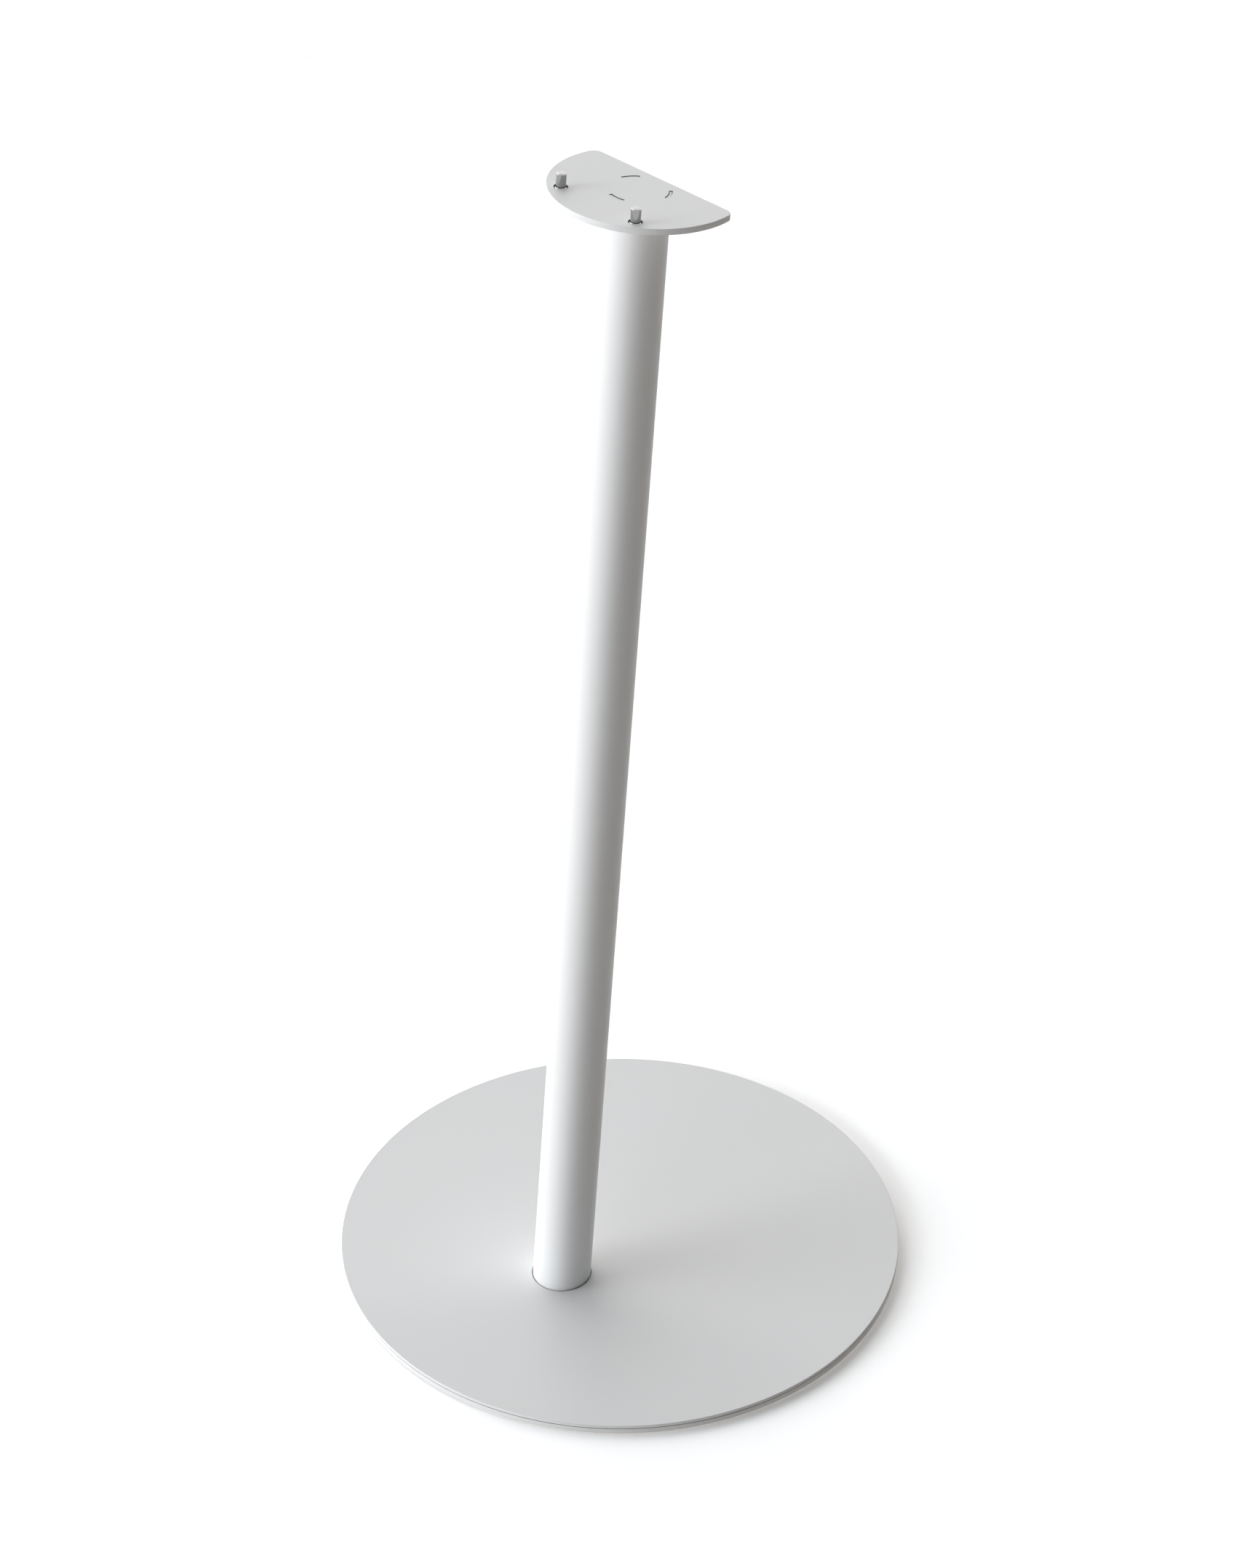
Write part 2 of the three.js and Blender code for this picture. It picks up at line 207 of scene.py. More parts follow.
# %% Make the powder coat
def make_powder_coat():
    coat = new_finish("satin_powder_coat")
    peel = coat.noise(0.55 * MM, detail=1.5)
    cloud = coat.noise(70 * MM, detail=1.0)
    speck = coat.noise(0.16 * MM, detail=0.0)
    return coat.close(
        Base_Color=coat.blend(cloud, grey(0.812, -0.004), grey(0.828, 0.004)),
        Roughness=0.44 + 0.08 * cloud + 0.05 * speck,
        IOR=1.5,
        Normal=coat.bump(peel + 0.25 * speck, 0.012 * MM),
    )


powder_coat = make_powder_coat()
print("made", powder_coat.name)

# %% [markdown]
# ## Painted shade between the pieces
#
# The holes, the slots and the seam between the two discs are to look nearly black, where a white coat
# would glow in its own light. So their faces get a dark steel colour that is painted shade, much
# darker than the light alone makes them. Rolling and cutting leave fine stripes there, so a noise is
# drawn out along the height of each edge.

# %% Make the cut edge and its painted shade
STRIPE_STRETCH = 0.08


def make_cut_edge_and_shade():
    edge = new_finish("laser_cut_edge_and_shade")
    drawn_out = {"Vector": edge.place(), "Scale": (1, 1, STRIPE_STRETCH)}
    stretched = edge.node("ShaderNodeMapping", {}, drawn_out)
    stripes = edge.noise(0.25 * MM, detail=1.0, place=stretched)
    cloud = edge.noise(2 * MM)
    return edge.close(
        # The dark greys are painted shade; the stripes and the cloud are the edge's own marks.
        Base_Color=edge.blend(2 * stripes * cloud, grey(0.07, 0.01), grey(0.18, 0.03)),
        Roughness=0.62 + 0.12 * stripes,
        Normal=edge.bump(stripes, 0.01 * MM),
    )


cut_edge_and_shade = make_cut_edge_and_shade()
print("made", cut_edge_and_shade.name)

# %% [markdown]
# ## Metals
#
# The speaker screws are turned and then polished, so fine rings run round them, and the steel is
# darker than chrome. The column bolts are zinc plated: duller, faintly cloudy and a touch blue.
# The plug in the foot of the tube is machined and left bare.
#
# The rings are a Wave texture along the piece's own axis. That axis leans with the column on the
# screws, so the pattern is turned by a Mapping node until its Z runs along the screw.

# %% Make the metals
column_axis = Vector(frame["joints"][0]["axis"])
COLUMN_LEAN = math.atan2(column_axis.y, column_axis.z)


def tool_rings(metal, pitch, lean):
    """Fine rings across an axis that leans back from Z, as a lathe tool leaves them."""
    turned = metal.node("ShaderNodeMapping", {}, {"Vector": metal.place(), "Rotation": (lean, 0, 0)})
    sockets = {"Vector": turned, "Scale": 1 / pitch, "Distortion": 0.6, "Detail": 1.0}
    return metal.node("ShaderNodeTexWave", {"bands_direction": "Z"}, sockets)


def make_polished_steel():
    metal = new_finish("turned_steel")
    rings = tool_rings(metal, 0.5 * MM, COLUMN_LEAN)
    cloud = metal.noise(2.5 * MM)
    return metal.close(
        Base_Color=metal.blend(cloud, grey(0.32, 0.004), grey(0.37, -0.004)),
        Metallic=1.0,
        Roughness=0.1 + 0.05 * cloud + 0.02 * rings,
        Normal=metal.bump(rings, 0.0012 * MM),
    )


def make_zinc_plate():
    metal = new_finish("zinc_plate")
    cloud = metal.noise(1.6 * MM, detail=3.0)
    fine = metal.noise(0.25 * MM)
    return metal.close(
        Base_Color=metal.blend(cloud, grey(0.40, -0.02), grey(0.50, 0.01)),
        Metallic=1.0,
        Roughness=0.3 + 0.14 * cloud + 0.05 * fine,
        Normal=metal.bump(fine, 0.003 * MM),
    )


def make_bare_steel():
    metal = new_finish("machined_steel")
    rings = tool_rings(metal, 0.4 * MM, COLUMN_LEAN)
    cloud = metal.noise(4 * MM)
    return metal.close(
        Base_Color=metal.blend(cloud, grey(0.26), grey(0.33, 0.01)),
        Metallic=1.0,
        Roughness=0.34 + 0.12 * cloud + 0.06 * rings,
        Normal=metal.bump(rings, 0.004 * MM),
    )


polished_steel = make_polished_steel()
zinc_steel = make_zinc_plate()
bare_steel = make_bare_steel()
print("made", polished_steel.name, zinc_steel.name, bare_steel.name)

# %% [markdown]
# ## Rubber and bonding film
#
# The pads under the base are rubber: nearly black, dull and faintly dusty. The same finish makes the
# rings round the screws black, as painted shade in the gaps there. The film that bonds the two discs
# of the base is a dark foam with open cells, which shows only as a thin dark line.

# %% Make the soft dark materials
def make_rubber():
    rubber = new_finish("dull_rubber")
    dust = rubber.noise(3 * MM, detail=4.0)
    grain = rubber.noise(0.3 * MM)
    return rubber.close(
        Base_Color=rubber.blend(dust, grey(0.02), grey(0.045, 0.02)),
        Roughness=0.75 + 0.15 * grain,
        Normal=rubber.bump(grain, 0.02 * MM),
    )


def make_bond_film():
    film = new_finish("foam_film")
    cells = film.node("ShaderNodeTexVoronoi", {}, {"Vector": film.place(), "Scale": 1 / (0.3 * MM)})
    return film.close(
        Base_Color=film.blend(cells, grey(0.02), grey(0.045)),
        Roughness=0.8 + 0.1 * cells,
        Normal=film.bump(cells, 0.03 * MM),
    )


rubber = make_rubber()
bond_film = make_bond_film()
print("made", rubber.name, bond_film.name)

# %% [markdown]
# ## Tools for modelling
#
# Every operator works on what is selected, and the frame's nodes come in selected. So a piece is
# always picked alone first, and faces, edges or corners are then chosen by a test on their place.
# `finish_cut` applies a Boolean modifier and takes the cutter away, and `settle` puts the piece's
# place into its mesh and smooths it, so that its object sits at the origin like a node of the frame.
#
# The tests allow for rounding errors: an edge counts as level within a hundredth of a millimetre,
# and a face counts as part of a hole within a margin of a millimetre.

# %% Selecting, cutting and settling
SMOOTH_ANGLE = math.radians(32)
CORNER_ANGLE = math.radians(60)
MERGE_DISTANCE = 0.001 * MM
LEVEL_TOLERANCE = 0.01 * MM
SEARCH_MARGIN = MM
WALL_RISE = 0.8
FLAT_RISE = 0.999
FACE_WEIGHT = 80


def pick(piece):
    """Makes a piece the only one selected, and the active one."""
    bpy.ops.object.select_all(action="DESELECT")
    piece.select_set(True)
    bpy.context.view_layer.objects.active = piece


def enter(piece):
    pick(piece)
    bpy.ops.object.mode_set(mode="EDIT")


def leave():
    bpy.ops.object.mode_set(mode="OBJECT")


def choose(kind, test):
    """In edit mode, selects only the corners, edges or faces that pass a test."""
    bpy.ops.mesh.select_mode(type=kind)
    bpy.ops.mesh.select_all(action="DESELECT")
    mesh = bpy.context.edit_object.data
    shape = bmesh.from_edit_mesh(mesh)
    parts = {"VERT": shape.verts, "EDGE": shape.edges, "FACE": shape.faces}[kind]
    chosen = [part for part in parts if test(part)]
    for part in chosen:
        part.select_set(True)
    bmesh.update_edit_mesh(mesh)
    return len(chosen)


def is_corner(edge):
    """Whether two faces meet at this edge as steeply as at the rim of a plate."""
    return edge.is_manifold and edge.calc_face_angle() > CORNER_ANGLE


def is_level(edge, height):
    return all(abs(corner.co.z - height) < LEVEL_TOLERANCE for corner in edge.verts)


def is_wall(face):
    """Whether a face stands up or slants, as the walls and cones of holes do."""
    return abs(face.normal.z) < WALL_RISE


def faces_along(face, direction):
    """Whether a face is flat and looks up (1) or down (-1)."""
    return face.normal.z * direction > FLAT_RISE


def axis_distance(face, place):
    """How far the middle of a face is from the upright line through a place."""
    middle = face.calc_center_median()
    return math.hypot(middle.x - place[0], middle.y - place[1])


def tidy():
    """In edit mode, merges doubled corners and turns the faces outwards."""
    bpy.ops.mesh.select_all(action="SELECT")
    bpy.ops.mesh.remove_doubles(threshold=MERGE_DISTANCE)
    bpy.ops.mesh.normals_make_consistent(inside=False)


def apply_modifier(piece, kind, **settings):
    pick(piece)
    modifier = piece.modifiers.new(kind.lower(), kind)
    for name, value in settings.items():
        setattr(modifier, name, value)
    bpy.ops.object.modifier_apply(modifier=modifier.name)


def finish_cut(piece, cutter):
    apply_modifier(piece, "BOOLEAN", operation="DIFFERENCE", solver="EXACT", object=cutter)
    bpy.data.objects.remove(cutter)


def settle(piece, place=Matrix.Identity(4)):
    """Puts a piece in its place, with the place in its mesh, and smooths its rounded edges."""
    piece.matrix_world = place
    pick(piece)
    bpy.ops.object.transform_apply(location=True, rotation=True, scale=True)
    bpy.ops.object.shade_smooth_by_angle(angle=SMOOTH_ANGLE)
    apply_modifier(piece, "WEIGHTED_NORMAL", mode="FACE_AREA", weight=FACE_WEIGHT, keep_sharp=True)


def copy_piece(piece, name):
    """A second piece of the same shape, with a mesh of its own."""
    copied = piece.copy()
    copied.data = piece.data.copy()
    copied.name = name
    bpy.context.scene.collection.objects.link(copied)
    return copied


def coat_and_paint_shade(piece, is_shaded):
    """Coats a piece white, apart from the faces that pass a test, which are painted dark as shade."""
    piece.data.materials.clear()
    piece.data.materials.append(powder_coat)
    piece.data.materials.append(cut_edge_and_shade)
    enter(piece)
    found = choose("FACE", is_shaded)
    piece.active_material_index = 1
    bpy.ops.object.material_slot_assign()
    leave()
    print(f"{piece.name}: {found} faces painted as shade")


def dress(piece, node, material=None):
    """Gives a piece its finish and its body, and lets it stand for its node of the frame."""
    if material:
        piece.data.materials.clear()
        piece.data.materials.append(material)
    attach(piece, frame["nodes"][node]["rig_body"])
    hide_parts(node)
    print(f"{piece.name}: {len(piece.data.polygons)} faces")


print("modelling tools are ready")

# %% [markdown]
# ## Drawing and turning a profile
#
# Most of the stand is round, so most pieces could start as a cylinder. A turned profile is better:
# half of the section is drawn as a chain of edges, its corners are rounded with a bevel while it is
# still flat, and one Spin makes the whole piece with every edge already soft.
#
# The chain starts as a plane that is merged to a single corner, which is then pulled out along the
# section with Extrude.

# %% Draw a chain and turn it
AXIS_MARGIN = 0.1 * MM
ROUNDING_STEPS = 3


def start_point(name, place):
    """A new mesh that is one corner, selected, in edit mode."""
    bpy.ops.object.select_all(action="DESELECT")
    bpy.ops.mesh.primitive_plane_add(size=MM)
    piece = bpy.context.object
    piece.name = name
    bpy.ops.object.mode_set(mode="EDIT")
    bpy.ops.mesh.select_mode(type="VERT")
    bpy.ops.mesh.merge(type="CENTER")
    bpy.ops.transform.translate(value=place)
    return piece


def pull_to(step):
    """Extrudes the selected corner by a step."""
    bpy.ops.mesh.extrude_region_move(TRANSFORM_OT_translate={"value": step})


def draw_profile(name, corners):
    """A chain of edges through (radius, height) corners, in the XZ plane, left in edit mode."""
    points = [Vector((radius, 0, height)) for radius, height in corners]
    piece = start_point(name, points[0])
    for here, there in zip(points, points[1:]):
        pull_to(there - here)
    return piece


def turn(name, corners, sides, rounding):
    """A solid turned about Z from (radius, height) corners, with rounded edges."""
    piece = draw_profile(name, corners)
    bpy.ops.mesh.select_all(action="SELECT")
    bpy.ops.mesh.remove_doubles(threshold=MERGE_DISTANCE)
    choose("VERT", lambda corner: corner.co.x > AXIS_MARGIN)
    bpy.ops.mesh.bevel(offset=rounding, segments=ROUNDING_STEPS, affect="VERTICES")
    bpy.ops.mesh.select_all(action="SELECT")
    bpy.ops.mesh.spin(steps=sides, angle=2 * math.pi, center=(0, 0, 0), axis=(0, 0, 1))
    tidy()
    leave()
    return piece


def turned_cutter(corners, sides, place):
    """A solid that is only used to cut a hole."""
    piece = draw_profile("cutter", corners)
    bpy.ops.mesh.select_all(action="SELECT")
    bpy.ops.mesh.spin(steps=sides, angle=2 * math.pi, center=(0, 0, 0), axis=(0, 0, 1))
    tidy()
    leave()
    piece.location = place
    return piece


def round_cutter(radius, bottom, top, sides, place):
    return turned_cutter([(0, bottom), (radius, bottom), (radius, top), (0, top)], sides, place)


print("profiles can be turned")

# %% [markdown]
# ## The two discs of the base
#
# The base is two laser cut discs: a thick one that carries everything and a thinner cover on top,
# with a dark film between them that is set back from the rim. Both have a coat that rounds their
# edges slightly. The faces that meet in the seam are painted dark as shade, to deepen the line
# between the discs. A cylinder with a Bevel modifier would do as well, but a turned profile gives the
# same soft rim at once.
#
# The cover has a clearance hole for the tube. The tube leans, so the hole is a little larger than the
# tube and shows as a thin dark line round its foot; the hole's wall is painted dark as shade to
# deepen that line. The plate has three countersunk holes for the bolts that hold the column.

# %% Turn the discs
DISC_SIDES = 240
DISC_EDGE_ROUNDING = 0.3 * MM
HOLE_EDGE_ROUNDING = 0.06 * MM

base_low, base_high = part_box("base_plate")
cover_low, cover_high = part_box("base_cover")
base_radius = base_high.x
base_top = base_high.z
print("base diameter in mm:", round(2 * base_radius / MM, 2))


def round_hole_edges(piece, heights, rounding):
    """Rounds the sharp edges that a cut left at the given heights."""
    enter(piece)
    found = choose("EDGE", lambda edge: is_corner(edge) and any(is_level(edge, z) for z in heights))
    bpy.ops.mesh.bevel(offset=rounding, segments=ROUNDING_STEPS, affect="EDGES")
    leave()
    print(f"{piece.name}: {found} edges rounded")


def turn_disc(name, bottom, top):
    corners = [(0, bottom), (base_radius, bottom), (base_radius, top), (0, top)]
    return turn(name, corners, DISC_SIDES, DISC_EDGE_ROUNDING)


# %% [markdown]
# ### The hole for the column
#
# The hole's size and place follow from the tube: it is bored straight down through the cover, so it
# is wider than the tube by what the lean takes up in the cover's thickness, and by a clearance.

# %% Cut the cover
COLUMN_DIAMETER = 40 * MM
COLUMN_FOOT_FORWARD = 57.2 * MM
COVER_HOLE_CLEARANCE = 0.4 * MM
HOLE_SIDES = 96

column_radius = COLUMN_DIAMETER / 2
cover_middle = (cover_low.z + cover_high.z) / 2
cover_half = (cover_high.z - cover_low.z) / 2
tan_lean = math.tan(COLUMN_LEAN)
tube_reach = column_radius / math.cos(COLUMN_LEAN) + cover_half * tan_lean
cover_hole_radius = tube_reach + COVER_HOLE_CLEARANCE
cover_hole_place = (0, -COLUMN_FOOT_FORWARD + (cover_middle - base_top) * tan_lean, 0)

base_cover = turn_disc("base_cover_coated", cover_low.z, cover_high.z)
hole_top = 2 * cover_high.z
finish_cut(base_cover, round_cutter(cover_hole_radius, 0, hole_top, HOLE_SIDES, cover_hole_place))
round_hole_edges(base_cover, [cover_low.z, cover_high.z], HOLE_EDGE_ROUNDING)


# The cover's underside, which shows in the seam, and the wall of its hole are painted dark as shade.
def is_shaded_on_cover(face):
    by_hole = axis_distance(face, cover_hole_place) < cover_hole_radius + SEARCH_MARGIN
    return faces_along(face, -1) or (is_wall(face) and by_hole)


coat_and_paint_shade(base_cover, is_shaded_on_cover)
settle(base_cover)
dress(base_cover, "base_cover")

# %% [markdown]
# ### The countersunk holes
#
# Each hole copies the outline of its bolt with a small gap round it: a short straight land, the
# cone of the head and the shank. Its cutter overshoots the plate, so that no skin is left behind.

# %% Cut the base plate
OVERSHOOT = MM
BOLT_COUNT = 3
BOLT_RADIUS = 3 * MM
BOLT_HEAD_RADIUS = 6 * MM
BOLT_HEAD_LAND = 0.3 * MM
BOLT_GAP = 0.3 * MM
SMALL_HOLE_SIDES = 48


def bolt_outline(gap, bottom, head_bottom, top):
    """Half of the section of a countersunk bolt, from the middle of its head to its shank's end."""
    head = BOLT_HEAD_RADIUS + gap
    shank = BOLT_RADIUS + gap
    cone = head_bottom + BOLT_HEAD_LAND
    cone_top = cone + head - shank
    return [(0, bottom), (head, bottom), (head, cone), (shank, cone_top), (shank, top), (0, top)]


def node_middle(node):
    low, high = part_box(node)
    return (low + high) / 2


base_plate = turn_disc("base_plate_coated", base_low.z, base_top)
for number in range(1, BOLT_COUNT + 1):
    middle = node_middle(f"column_bolt_{number}")
    outline = bolt_outline(BOLT_GAP, 0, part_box("column_bolt_1")[0].z, base_top + OVERSHOOT)
    finish_cut(base_plate, turned_cutter(outline, SMALL_HOLE_SIDES, (middle.x, middle.y, 0)))
round_hole_edges(base_plate, [base_low.z], HOLE_EDGE_ROUNDING)
# The plate's top shows only in the seam and round the tube's foot, so it is painted dark as shade.
coat_and_paint_shade(base_plate, lambda face: faces_along(face, 1))
settle(base_plate)
dress(base_plate, "base_plate")

# %% [markdown]
# ## The tube
#
# The column is a steel tube of 40 mm with a wall of 1.5 mm. Its foot is mitred so that it stands
# flat on the base plate while it leans, and its top is cut back between three tabs that reach into
# the slots of the top plate.
#
# It is modelled upright and leaned at the end. Two circles are bridged to a ring and extruded to a
# wall. One Bisect cuts the foot on the slant and a second Bridge closes it. The cuts between the
# tabs are Booleans with a piece of a ring, which is a small plane that is spun through the angle.

# %% Shared sizes of the column
COLUMN_WALL = 1.5 * MM
COLUMN_LENGTH = 815.4 * MM
TAB_COUNT = 3
FIRST_TAB_ANGLE = math.radians(30)
TAB_SPAN = math.radians(32)
TAB_RECESS = 0.4 * MM
TAB_CLEARANCE = 0.35 * MM
SEAT_GAP = 0.3 * MM
PLATE_THICKNESS = 4 * MM
TUBE_SIDES = 144
ARC_STEPS = 16

column_bore = column_radius - COLUMN_WALL
foot_place = Matrix.Translation((0, -COLUMN_FOOT_FORWARD, base_top))
column_place = foot_place @ Matrix.Rotation(-COLUMN_LEAN, 4, "X")
up_in_column = column_place.inverted().to_3x3() @ Vector((0, 0, 1))


def spun_sector(inner, outer, start, sweep, bottom, top):
    """A piece of a ring, from a small upright plane that is spun about Z."""
    bpy.ops.object.select_all(action="DESELECT")
    bpy.ops.mesh.primitive_plane_add(size=1)
    piece = bpy.context.object
    bpy.ops.object.mode_set(mode="EDIT")
    bpy.ops.transform.resize(value=(outer - inner, top - bottom, 1))
    leave()
    upright = Matrix.Rotation(math.pi / 2, 4, "X")
    out = Matrix.Translation(((inner + outer) / 2, 0, (bottom + top) / 2))
    piece.data.transform(Matrix.Rotation(start, 4, "Z") @ out @ upright)
    enter(piece)
    bpy.ops.mesh.select_all(action="SELECT")
    bpy.ops.mesh.spin(steps=ARC_STEPS, angle=-sweep, center=(0, 0, 0), axis=(0, 0, 1))
    tidy()
    leave()
    return piece


# %% [markdown]
# ### Making the tube
#
# The order matters. The foot is cut first, while the tube is a plain wall, because a Bridge needs
# exactly two open loops.

# %% Bridge, extrude and mitre the tube
TAB_EDGE_ROUNDING = 0.1 * MM


def add_ring(name, inner, outer, sides):
    """A flat ring at height zero, left in edit mode with all of it selected."""
    bpy.ops.object.select_all(action="DESELECT")
    bpy.ops.mesh.primitive_circle_add(vertices=sides, radius=outer)
    piece = bpy.context.object
    piece.name = name
    bpy.ops.object.mode_set(mode="EDIT")
    bpy.ops.mesh.primitive_circle_add(vertices=sides, radius=inner)
    bpy.ops.mesh.select_all(action="SELECT")
    bpy.ops.mesh.bridge_edge_loops()
    return piece


def mitre_foot(height):
    """In edit mode, cuts away what is below a level plane, as the leaned column sees it."""
    bpy.ops.mesh.select_all(action="SELECT")
    plane = up_in_column * height
    bpy.ops.mesh.bisect(plane_co=plane, plane_no=up_in_column, clear_inner=True, clear_outer=False)
    choose("EDGE", lambda edge: edge.is_boundary)
    bpy.ops.mesh.bridge_edge_loops()


tab_top = COLUMN_LENGTH + PLATE_THICKNESS - TAB_RECESS
shoulder = COLUMN_LENGTH - SEAT_GAP
column_tube = add_ring("column_tube_coated", column_bore, column_radius, TUBE_SIDES)
bpy.ops.transform.translate(value=(0, 0, -COLUMN_DIAMETER))
tube_rise = (0, 0, COLUMN_DIAMETER + tab_top)
bpy.ops.mesh.extrude_region_move(TRANSFORM_OT_translate={"value": tube_rise})
tidy()
mitre_foot(SEAT_GAP)
tidy()
leave()

pitch = 2 * math.pi / TAB_COUNT
for number in range(TAB_COUNT):
    start = FIRST_TAB_ANGLE + number * pitch + TAB_SPAN / 2
    inner, outer = column_bore - COLUMN_WALL, column_radius + COLUMN_WALL
    notch = spun_sector(inner, outer, start, pitch - TAB_SPAN, shoulder, tab_top + COLUMN_WALL)
    finish_cut(column_tube, notch)
round_hole_edges(column_tube, [tab_top], TAB_EDGE_ROUNDING)
settle(column_tube, column_place)
dress(column_tube, "column_tube", powder_coat)

# %% [markdown]
# ## The top plate
#
# Seen from above the plate is three quarters of a round, cut straight across behind the tube, with
# small rounds where the two meet. The outline could be a bisected circle with bevelled corners, but
# a bevel between a line and an arc of short edges comes out uneven. So the outline is drawn as a
# draughtsman would: one corner is spun round the centre of each arc in turn, with one straight pull
# for the back edge.

# %% Draw the outline of the plate
PLATE_RADIUS = 60 * MM
PLATE_CENTRE_BACK = 5.9 * MM
PLATE_BACK_OVERHANG = 1.5 * MM
PLATE_CORNER_RADIUS = 6 * MM
PLATE_EDGE_ROUNDING = 0.3 * MM
ROUND_STEPS = 120
CORNER_STEPS = 10

corner_y = column_radius + PLATE_BACK_OVERHANG - PLATE_CORNER_RADIUS
corner_rise = corner_y - PLATE_CENTRE_BACK
corner_x = math.sqrt((PLATE_RADIUS - PLATE_CORNER_RADIUS) ** 2 - corner_rise**2)
join_angle = math.atan2(corner_rise, corner_x)


def sweep(centre, angle, steps):
    """In edit mode, spins the selected corner anticlockwise round a centre."""
    bpy.ops.mesh.spin(steps=steps, angle=-angle, center=centre, axis=(0, 0, 1))


round_centre = Vector((0, PLATE_CENTRE_BACK, COLUMN_LENGTH))
left_end = Vector((-math.cos(join_angle), math.sin(join_angle), 0)) * PLATE_RADIUS
top_plate = start_point("top_plate_coated", round_centre + left_end)
sweep(round_centre, math.pi + 2 * join_angle, ROUND_STEPS)
sweep((corner_x, corner_y, COLUMN_LENGTH), math.pi / 2 - join_angle, CORNER_STEPS)
pull_to((-2 * corner_x, 0, 0))
sweep((-corner_x, corner_y, COLUMN_LENGTH), math.pi / 2 - join_angle, CORNER_STEPS)
tidy()
bpy.ops.mesh.edge_face_add()
bpy.ops.mesh.extrude_region_move(TRANSFORM_OT_translate={"value": (0, 0, PLATE_THICKNESS)})
tidy()
leave()
print("corners of the outline:", len(top_plate.data.vertices) // 2)

# %% [markdown]
# ### Rounding the rim and cutting the holes
#
# The rim is rounded before the holes are cut, so that the edges to round can be told apart by being
# sharp. The slots are pieces of a ring, a little longer and wider than the tabs of the tube that
# stand in them. The screw holes are countersunk from below for the heads of the screws.
#
# The cuts leave each flat face as a few large faces with many corners. Rounding the edges of the
# holes can fold such a face over itself, so they are split into triangles first.

# %% Round and cut the plate
SCREW_RADIUS = 3.175 * MM
SCREW_HEAD_RECESS = 0.2 * MM
SCREW_HEAD_LAND = 0.5 * MM
SCREW_HOLE_PLAY = 1.3 * MM

screw_hole_radius = SCREW_RADIUS + SCREW_HOLE_PLAY
screw_cone_bottom = SCREW_HEAD_RECESS + SCREW_HEAD_LAND
screw_head_radius = SCREW_RADIUS + PLATE_THICKNESS - screw_cone_bottom
sink_radius = screw_head_radius + SEAT_GAP
screw_hole_outline = [
    (0, -OVERSHOOT),
    (sink_radius, -OVERSHOOT),
    (sink_radius, screw_cone_bottom),
    (screw_hole_radius, screw_cone_bottom + sink_radius - screw_hole_radius),
    (screw_hole_radius, PLATE_THICKNESS + OVERSHOOT),
    (0, PLATE_THICKNESS + OVERSHOOT),
]
plate_top = COLUMN_LENGTH + PLATE_THICKNESS
plate_faces = [COLUMN_LENGTH, plate_top]
round_hole_edges(top_plate, plate_faces, PLATE_EDGE_ROUNDING)

screw_spot = column_place.inverted() @ Vector(frame["joints"][0]["pos_m"])
screw_places = {"left": -abs(screw_spot.x), "right": abs(screw_spot.x)}
for x in screw_places.values():
    hole_place = (x, screw_spot.y, COLUMN_LENGTH)
    finish_cut(top_plate, turned_cutter(screw_hole_outline, SMALL_HOLE_SIDES, hole_place))

slack = TAB_CLEARANCE / column_radius
for number in range(TAB_COUNT):
    start = FIRST_TAB_ANGLE + number * pitch - TAB_SPAN / 2 - slack
    inner, outer = column_bore - TAB_CLEARANCE, column_radius + TAB_CLEARANCE
    bottom, top = COLUMN_LENGTH - OVERSHOOT, plate_top + OVERSHOOT
    finish_cut(top_plate, spun_sector(inner, outer, start, TAB_SPAN + 2 * slack, bottom, top))

enter(top_plate)
bpy.ops.mesh.select_all(action="SELECT")
bpy.ops.mesh.quads_convert_to_tris(quad_method="BEAUTY", ngon_method="BEAUTY")
leave()
round_hole_edges(top_plate, plate_faces, HOLE_EDGE_ROUNDING)


# The walls of the screw holes and of the slots are painted dark as shade.
def is_in_plate_hole(face):
    screw_distance = min(axis_distance(face, (x, screw_spot.y)) for x in screw_places.values())
    from_wall = abs(axis_distance(face, (0, 0)) - (column_bore + column_radius) / 2)
    by_screw = screw_distance < sink_radius + SEARCH_MARGIN
    by_tab = from_wall < COLUMN_WALL / 2 + SEARCH_MARGIN
    return is_wall(face) and (by_screw or by_tab)


coat_and_paint_shade(top_plate, is_in_plate_hole)
settle(top_plate, column_place)
dress(top_plate, "top_plate")

# %% [markdown]
# ## The speaker screws
#
# Each screw is turned from one bar: a countersunk head with a hexagon socket, which lies just inside
# the plate's underside, and a smooth shank that stands up through the plate and ends in a small
# chamfer. The polished edge of that chamfer is what glints in the photograph, so its corners are
# rounded by only a few hundredths of a millimetre.
#
# The cone of the head narrows to the shank level with the plate's top. Looking down into the gap
# round the shank, one sees it as a second bright ring.

# %% Turn the screws
SCREW_PROTRUSION = 8.9 * MM
SCREW_TIP_CHAMFER = 0.5 * MM
SOCKET_WIDTH = 4 * MM
SCREW_SOCKET_DEPTH = 2.3 * MM
METAL_EDGE_ROUNDING = 0.06 * MM
SCREW_SIDES = 64
SOCKET_SIDES = 6
DRILL_POINT_DEPTH = 0.4


def screw_place(side):
    """The frame of one screw: the middle of its hole, at the plate's underside, Z up the screw."""
    return column_place @ Matrix.Translation((screw_places[side], screw_spot.y, COLUMN_LENGTH))


def hexagon_cutter(width, bottom, top):
    """A six-sided bar with a drilled point, which cuts a socket for a key."""
    radius = width / 2 / math.cos(math.pi / SOCKET_SIDES)
    point = top + DRILL_POINT_DEPTH * radius
    outline = [(0, bottom), (radius, bottom), (radius, top), (0, point)]
    return turned_cutter(outline, SOCKET_SIDES, (0, 0, 0))


